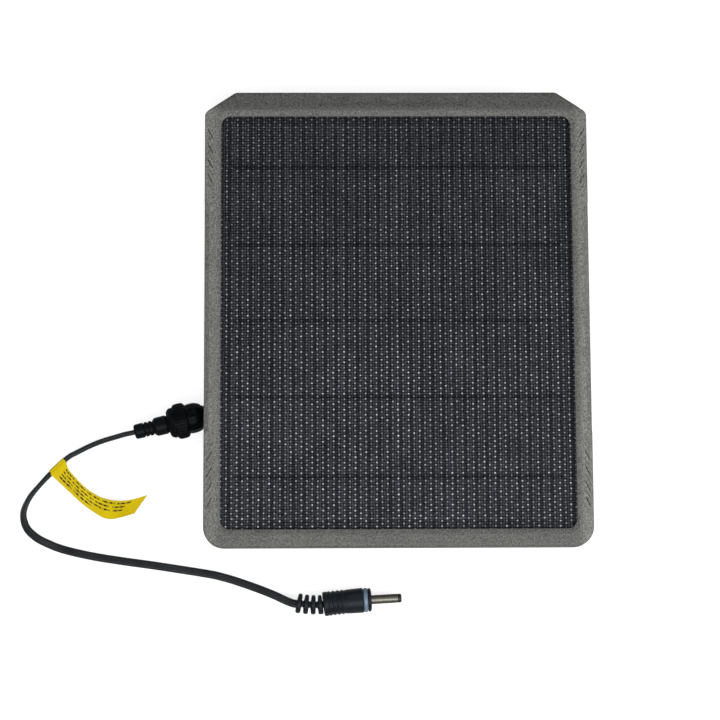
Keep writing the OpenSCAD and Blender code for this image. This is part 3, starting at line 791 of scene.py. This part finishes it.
def add_film():
    """The clear front film, with its raised dots in staggered columns."""
    rng = random.Random(7)
    dx, dy = DIMPLE_X / FILM_SAMPLES, DIMPLE_Y / FILM_SAMPLES
    cols = int((film_hi.x - film_lo.x) / 2 / dx)
    rows = int((film_hi.y - film_lo.y) / 2 / dy)
    gains = {}
    verts, faces = [], []
    for i in range(-cols, cols + 1):
        for j in range(-rows, rows + 1):
            x, y = i * dx, j * dy
            key = (round(x / DIMPLE_X), round(2 * y / DIMPLE_Y))
            if key not in gains:
                gains[key] = 0.65 + 0.7 * rng.random()
            border = min(cols - abs(i), rows - abs(j), 4) / 4
            verts.append((x, y + FILM_MIDDLE, film_hi.z - 0.12 + border * film_height(x, y, gains[key])))
    n, total = 2 * rows + 1, 2 * cols + 1
    for i in range(total - 1):
        for j in range(n - 1):
            a = i * n + j
            faces.append((a, a + n, a + n + 1, a + 1))
    ring = [i * n for i in range(total)]
    ring += [(total - 1) * n + j for j in range(1, n)]
    ring += [i * n + n - 1 for i in range(total - 2, -1, -1)]
    ring += [j for j in range(n - 2, 0, -1)]
    low, m = len(verts), len(ring)
    # the sheet's edge and its flat back
    verts += [(verts[k][0], verts[k][1], film_lo.z) for k in ring]
    for k in range(m):
        j = (k + 1) % m
        faces.append((ring[k], low + k, low + j, ring[j]))
    faces.append(tuple(low + k for k in reversed(range(m))))
    piece = make_piece("dotted_film", verts, faces, "panel", "film", 60)
    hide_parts("front_film")


# ---- coupling ----

# profiles are (station along the coupling from the panel half, radius)
COUPLING = axes_at(JOINTS["nut_turn"]["pos_m"], JOINTS["nut_turn"]["axis"])
NUT_FACETS = 12
RELIEF_START, RELIEF_PITCH, RELIEF_R = 21.0, 1.7, 3.0


def nut_shape(s, r, a):
    """Broad facets round the barrel, and two ribbed wings on the flange."""
    if 1.3 < s < 7.2 and r > 4.9:
        half = math.pi / NUT_FACETS
        within = (a % (2 * half)) - half
        flat = math.cos(half) / math.cos(within)
        return r * min(1, flat * 1.012)
    wing = abs(math.cos(a)) ** 2.5
    rib = 0.5 + 0.5 * math.cos(36 * a)
    if 7.4 < s < 12.6 and r > 5.6:
        return 5.9 + (r - 5.9) * wing - 0.22 * rib * (0.3 + 0.7 * wing)
    if s >= 12.6 and r > 4.6:
        return r - 0.18 * rib
    return r


def add_nut():
    """The coupling nut: barrel, winged flange and collar round a stepped bore."""
    outer = [(1.1, 4.7), (1.5, 5.0), (2.5, 5.55), (3.6, 5.9), (4.6, 6.0), (6.6, 5.95), (7.2, 5.7),
             (7.5, 6.3), (8.0, 6.9), (9.0, 7.1), (10.8, 7.1), (11.8, 6.9), (12.3, 6.3), (12.5, 5.9),
             (13.0, 6.1), (14.0, 5.8), (14.7, 5.2), (15.1, 4.4)]
    inner = [(15.1, 3.6), (9.3, 3.6), (9.3, 4.45), (1.1, 4.45)]
    profile = fillet(outer + inner, 0.35, 3, closed=True)
    dense = []
    for (s0, r0), (s1, r1) in zip(profile, profile[1:] + profile[:1]):
        n = max(1, int(abs(s1 - s0) / 0.5))
        dense += [(s0 + (s1 - s0) * k / n, r0 + (r1 - r0) * k / n) for k in range(n)]
    piece = turned_piece("coupling_nut_shell", "nut", "coupling_plastic", dense, COUPLING, 288, 40,
                         closed=True, shape=nut_shape)
    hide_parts("coupling_nut")
    return piece


def add_male_half():
    """The lead half: its flange inside the nut, its body and its grooved strain relief."""
    outer = [(6.2, 3.3), (6.2, 4.1), (6.4, 4.2), (8.8, 4.2), (9.0, 4.0), (9.0, 3.4),
             (15.5, 3.4), (15.9, 3.75), (19.9, 3.7), (20.3, 3.45)]
    for k in range(3):
        g = RELIEF_START + RELIEF_PITCH * k
        outer += [(g - 0.25, RELIEF_R), (g, RELIEF_R - 0.15), (g + 0.05, RELIEF_R - 0.5),
                  (g + 0.4, RELIEF_R - 0.5), (g + 0.45, RELIEF_R - 0.15)]
    outer += [(25.1, RELIEF_R), (28.0, RELIEF_R - 0.05), (28.6, 2.6), (28.8, 1.9), (28.8, 0)]
    inner = [(11.0, 0), (11.0, 3.3)]
    piece = turned_piece("lead_half_moulding", "lead", "coupling_rubber", fillet(inner + outer, 0.22, 3),
                         COUPLING, 72, 45)
    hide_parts("male_body")
    return piece


def add_socket_half():
    """The panel half: a tapered body and four thread rings."""
    outer = [(-13, 0), (-13, 2.0), (-12.6, 2.4), (-8.0, 3.4), (-7.2, 4.1), (-1.2, 4.1), (-0.6, 3.8),
             (0.2, 3.8)]
    for k in range(4):
        s = 0.2 + 1.35 * k
        outer += [(s + 0.1, 3.8), (s + 0.45, 4.3), (s + 0.7, 4.3), (s + 1.05, 3.8)]
    outer += [(6.0, 3.8), (6.0, 3.3), (0.0, 3.3), (0.0, 0)]
    piece = turned_piece("panel_half_moulding", "panel", "coupling_plastic", fillet(outer, 0.15, 2),
                         COUPLING, 72, 40)
    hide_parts("socket_body")


# ---- plug ----

# profiles are (station along the plug from the lead's end, radius)
PLUG_SHOULDER, BARREL_LEN, TIP = 29.1, 10.4, 1.4
RIB_START, RIB_PITCH, RIB_WIDE, RIB_R = -0.35, 2.75, 1.95, 3.8
GAP_R, RELIEF_END = 1.3, 9.0
GRIP_START, GRIP_R = 10.0, 4.9
RING_START, RING_PITCH = 12.1, 1.7
SEAL_FROM, SEAL_TO, SEAL_R = 25.9, 27.7, 4.75
plug_axis = Vector(MOUNTS["plug_barrel"]["axis"])
plug_reach = PLUG_SHOULDER + MOUNTS["plug_barrel"]["dims"]["length_mm"] / 2
plug_start = Vector(MOUNTS["plug_barrel"]["pos_m"]) - plug_axis * plug_reach * MM
PLUG = axes_at(plug_start, plug_axis)


def slotted(t, r, angle):
    """Cuts the strain relief's gaps from two sides only, so that a web is left between them."""
    place = (t - RIB_START) % RIB_PITCH
    in_gap = t < GRIP_START - 0.1 and place > RIB_WIDE + 0.05
    web = abs(math.sin(angle)) ** 6
    return max(r, GAP_R + 1.1 * web) if in_gap else r


def sagged(point):
    """The flexible end of the moulding follows the lead: it dips, then rises where the lead enters."""
    t, across, up = point
    if t < RELIEF_END:
        share = 1 - t / RELIEF_END
        offset = 1.15 * share ** 2 - 0.75
        slope = -2.3 * share / RELIEF_END
    else:
        share = max(0, 1 - (t - RELIEF_END) / (PLUG_SHOULDER - RELIEF_END))
        offset = -0.75 * share ** 2
        slope = 1.5 * share / (PLUG_SHOULDER - RELIEF_END)
    return t - across * slope, across + offset, up


def grip_profile():
    """The strain relief's ribs, the ringed grip, the seal's seat and the barrel's bore."""
    body = [(RIB_START, 0), (RIB_START, 1.7)]
    for k in range(4):
        t = RIB_START + RIB_PITCH * k
        body += [(t + 0.05, 2.2), (t + 0.12, RIB_R - 0.45), (t + 0.5, RIB_R), (t + RIB_WIDE - 0.45, RIB_R),
                 (t + RIB_WIDE - 0.07, RIB_R - 0.45), (t + RIB_WIDE, GAP_R), (t + 2.3, GAP_R),
                 (t + RIB_PITCH - 0.08, GAP_R)]
    body += [(GRIP_START, 2.6), (GRIP_START + 0.1, 4.3), (GRIP_START + 0.4, 4.75), (GRIP_START + 1.6, 4.8)]
    for k in range(4):
        t = RING_START + RING_PITCH * k
        body += [(t, 4.5), (t + 0.25, 4.87), (t + 0.7, 4.87), (t + 0.95, 4.55)]
    body += [(18.9, 4.6), (19.5, 4.72), (SEAL_FROM - 0.4, GRIP_R), (SEAL_FROM, 4.6), (SEAL_FROM, 3.2),
             (SEAL_TO, 3.2), (SEAL_TO, 4.2), (SEAL_TO + 0.2, 4.6), (SEAL_TO + 0.9, 4.6),
             (PLUG_SHOULDER - 0.2, 4.2), (PLUG_SHOULDER, 3.4), (PLUG_SHOULDER, 2.1), (24.0, 2.1), (24.0, 0)]
    return fillet(body, 0.2, 3)


def plug_part(name, slot, profile, segments, sharp=45, **shaping):
    return turned_piece(name, "lead", slot, profile, PLUG, segments, sharp, **shaping)


def add_plug():
    """The plug's grip, its seal ring, its barrel and the insulating tip."""
    grip = plug_part("plug_grip_moulding", "plug_moulding", grip_profile(), 96, shape=slotted, bent=sagged)
    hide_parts("plug_grip")

    a, b = SEAL_FROM + 0.05, SEAL_TO - 0.05
    ring = [(a, 3.2), (a, SEAL_R - 0.3), (a + 0.35, SEAL_R),
            (b - 0.35, SEAL_R), (b, SEAL_R - 0.3), (b, 3.2)]
    ring = fillet(ring, 0.3, 4, closed=True)
    seal = plug_part("plug_seal_ring", "plug_seal", ring, 96, sharp=60, closed=True)
    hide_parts("plug_seal")

    a, b = PLUG_SHOULDER - 4, PLUG_SHOULDER + BARREL_LEN
    root = PLUG_SHOULDER + 0.02
    tube = [(a, 1.45), (a, 2.08), (root, 2.08), (root, 1.75), (b - 0.15, 1.75), (b, 1.68), (b, 1.45)]
    barrel = plug_part("plug_barrel_sleeve", "nickel", fillet(tube, 0.08, 2, closed=True), 64, closed=True)
    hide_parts("plug_barrel")

    tip = [(b - 3, 0.95), (b - 3, 1.44), (b + 0.02, 1.44), (b + 0.02, 1.72), (b + 0.25, 1.75),
           (b + 1.0, 1.75), (b + TIP, 1.35), (b + TIP, 0.72), (b + 0.9, 0.68), (b, 0.68), (b, 0.95)]
    tip = fillet(tip, 0.12, 3, closed=True)
    insulator = plug_part("plug_tip_insulator", "component_black", tip, 64, closed=True)
    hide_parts("plug_insulator")
    return [grip, seal, barrel, insulator]


# ---- tag ----

TAG_MIDDLE = Vector((-134.6, -56.9, 1.9))
TAG_RUN = Vector((-6.6, -6.3, 0)).normalized()      # the lead's direction under the sleeve
TAG_HALF = 3.7                                      # half the sleeve's length
TAG_THICK = 0.22
WRAP_ACROSS, WRAP_UP = 1.22, 1.86        # half the wrap's outline
WRAP_STATIONS, WRAP_POINTS = 16, 48
FLAG_LONG, FLAG_WIDE = 190, 46           # faces along and across the flag
# the flag's two edges, from the lead to its cut end
TAG_EDGE_A = [Vector(p) for p in (
    (-131.7, -54.5, 3.8), (-130.9, -56.2, 3.7), (-130.1, -58.2, 3.4), (-128.0, -60.7, 3.2),
    (-124.8, -64.1, 3.0), (-121.2, -67.0, 3.0), (-116.4, -69.5, 3.4), (-110.8, -70.7, 4.4),
    (-105.1, -70.5, 6.5), (-98.4, -68.9, 9.6))]
TAG_EDGE_B = [Vector(p) for p in (
    (-137.3, -60.1, 3.8), (-135.7, -61.6, 3.6), (-133.1, -64.0, 3.0), (-128.8, -68.0, 2.3),
    (-124.5, -71.9, 1.6), (-120.1, -75.0, 0.9), (-116.2, -77.2, 0.8), (-113.0, -77.7, 1.2),
    (-108.9, -77.1, 2.8), (-103.9, -75.9, 5.4))]
# plain bars that stand for print: where they lie across the flag, and along it, line by line
PRINT_FIRST, PRINT_PITCH, PRINT_HALF = 0.16, 0.19, 0.046     # shares of the flag's width
PRINT_LINES = [
    [(0.16, 0.34), (0.36, 0.48), (0.50, 0.56), (0.58, 0.63), (0.65, 0.77), (0.79, 0.90)],
    [(0.15, 0.22), (0.24, 0.30), (0.32, 0.41), (0.43, 0.51), (0.53, 0.57), (0.59, 0.72), (0.75, 0.87)],
    [(0.15, 0.24), (0.26, 0.33), (0.35, 0.47), (0.49, 0.64), (0.66, 0.73), (0.76, 0.86)],
    [(0.15, 0.32), (0.34, 0.40), (0.42, 0.53)],
]


def curve_at(points, t):
    """Point at share t of a smooth curve through the points."""
    spot = t * (len(points) - 1)
    i = min(int(spot), len(points) - 2)
    return curve_point(points, i, spot - i)


def printed(t, w):
    """True where a bar of the four printed lines lies, at share t along and w across."""
    for k, bars in enumerate(PRINT_LINES):
        middle = PRINT_FIRST + PRINT_PITCH * k
        if abs(w - middle) < PRINT_HALF and any(a < t < b for a, b in bars):
            return (t * 105) % 1 < 0.74
    return False


def flag_mesh():
    """The free flag: its points, faces and the faces' materials."""
    verts = []
    for face in (0.5, -0.5):
        for i in range(FLAG_LONG + 1):
            t = i / FLAG_LONG
            a, b = curve_at(TAG_EDGE_A, t), curve_at(TAG_EDGE_B, t)
            ahead, back = min(1, t + 0.01), max(0, t - 0.01)
            run = (curve_at(TAG_EDGE_A, ahead) + curve_at(TAG_EDGE_B, ahead)
                   - curve_at(TAG_EDGE_A, back) - curve_at(TAG_EDGE_B, back))
            normal = (b - a).cross(run).normalized()
            if normal.z < 0:
                normal = -normal
            for j in range(FLAG_WIDE + 1):
                w = j / FLAG_WIDE
                crown = 0.25 * math.sin(math.pi * w) * math.sin(math.pi * min(1, t * 1.4))
                verts.append(tuple(a.lerp(b, w) + normal * (TAG_THICK * face + crown)))
    faces = slab_faces(FLAG_LONG, FLAG_WIDE)
    picks = []
    for i in range(FLAG_LONG):
        for j in range(FLAG_WIDE):
            picks += [int(printed((i + 0.5) / FLAG_LONG, (j + 0.5) / FLAG_WIDE)), 0]
    picks += [0] * (len(faces) - len(picks))
    return verts, faces, picks


def wrap_mesh():
    """The sleeve of film round the lead."""
    up = Vector((0, 0, 1))
    side = up.cross(TAG_RUN)
    if side.dot(Vector((1, -1, 0))) < 0:
        side = -side
    verts, faces = [], []
    for inward in (1.0, 0.9):
        for i in range(WRAP_STATIONS + 1):
            middle = TAG_MIDDLE + TAG_RUN * TAG_HALF * (2 * i / WRAP_STATIONS - 1)
            for c, u in oval(WRAP_POINTS, WRAP_ACROSS, WRAP_UP, 0.8):
                verts.append(tuple(middle + side * c * inward + up * u * inward))
    deep = (WRAP_STATIONS + 1) * WRAP_POINTS
    end = WRAP_STATIONS * WRAP_POINTS
    for k in range(WRAP_POINTS):
        j = (k + 1) % WRAP_POINTS
        for i in range(WRAP_STATIONS):
            a, b = i * WRAP_POINTS, (i + 1) * WRAP_POINTS
            faces.append((a + k, a + j, b + j, b + k))
            faces.append((deep + a + k, deep + b + k, deep + b + j, deep + a + j))
        faces.append((k, deep + k, deep + j, j))
        faces.append((end + k, end + j, deep + end + j, deep + end + k))
    return verts, faces


def add_tag():
    """The label: a sleeve round the lead and its free flag."""
    flag_verts, flag_faces, picks = flag_mesh()
    wrap = wrap_mesh()
    picks += [0] * len(wrap[1])
    verts, faces = join_parts([(flag_verts, flag_faces), wrap])
    piece = make_piece("lead_tag_flag", verts, faces, "lead", "tag_film", 60, extra=TAG_PRINT, picks=picks)
    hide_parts("lead_tag")
    return piece


# ---- stage ----

FLOOR_TONE, FLOOR_GLOW = 0.15, 0.80      # a pale light table, so that shadows stay faint
FLOOR_HALF = 3.0
SKY_COLOUR, SKY_STRENGTH = (0.93, 0.96, 1.0, 1), 0.16
# soft lights: name, place, size in metres, power in watts
LIGHTS = (
    ("key", (0.05, -0.65, 1.02), (0.9, 0.7), 24),
    ("right", (0.85, -0.30, 0.85), (0.6, 0.6), 23),
    ("left", (-0.90, -0.10, 0.85), (0.6, 0.6), 11),
    ("back", (0.00, 0.90, 0.85), (0.6, 0.6), 5),
)


def add_light(name, place, size, power):
    """A rectangular light that faces the origin."""
    data = bpy.data.lights.new(name, "AREA")
    data.shape = "RECTANGLE"
    data.size, data.size_y = size
    data.energy = power
    light = bpy.data.objects.new(name, data)
    light.location = place
    light.rotation_euler = (-Vector(place)).to_track_quat("-Z", "Y").to_euler()
    bpy.context.collection.objects.link(light)


def add_floor():
    mesh = bpy.data.meshes.new("floor")
    h = FLOOR_HALF
    mesh.from_pydata([(-h, -h, 0), (h, -h, 0), (h, h, 0), (-h, h, 0)], [], [(0, 1, 2, 3)])
    s = Shader("floor", Roughness=0.9, Specular_IOR_Level=0.0, Emission_Strength=FLOOR_GLOW)
    s.bsdf.inputs["Base Color"].default_value = (FLOOR_TONE, FLOOR_TONE, FLOOR_TONE, 1)
    s.bsdf.inputs["Emission Color"].default_value = (1, 1, 1, 1)
    mesh.materials.append(s.mat)
    floor = bpy.data.objects.new("floor", mesh)
    bpy.context.collection.objects.link(floor)


def add_studio():
    """The floor, a dim cool sky and the soft lights."""
    add_floor()
    world = bpy.data.worlds.new("studio")
    world.use_nodes = True
    background = world.node_tree.nodes["Background"]
    background.inputs["Color"].default_value = SKY_COLOUR
    background.inputs["Strength"].default_value = SKY_STRENGTH
    bpy.context.scene.world = world
    for light in LIGHTS:
        add_light(*light)
    bpy.context.scene.view_settings.view_transform = "Standard"


lead, lead_path, lead_length = add_lead()
dress_cad_nodes()
add_front_frame()
add_film()
nut = add_nut()
male = add_male_half()
add_socket_half()
plug_pieces = add_plug()
tag = add_tag()
add_studio()

on_lead = [tag, nut, male] + plug_pieces
on_lead += [frame["nodes"][n] for n in ("male_insert", "male_contacts", "male_seal", "plug_contact")]
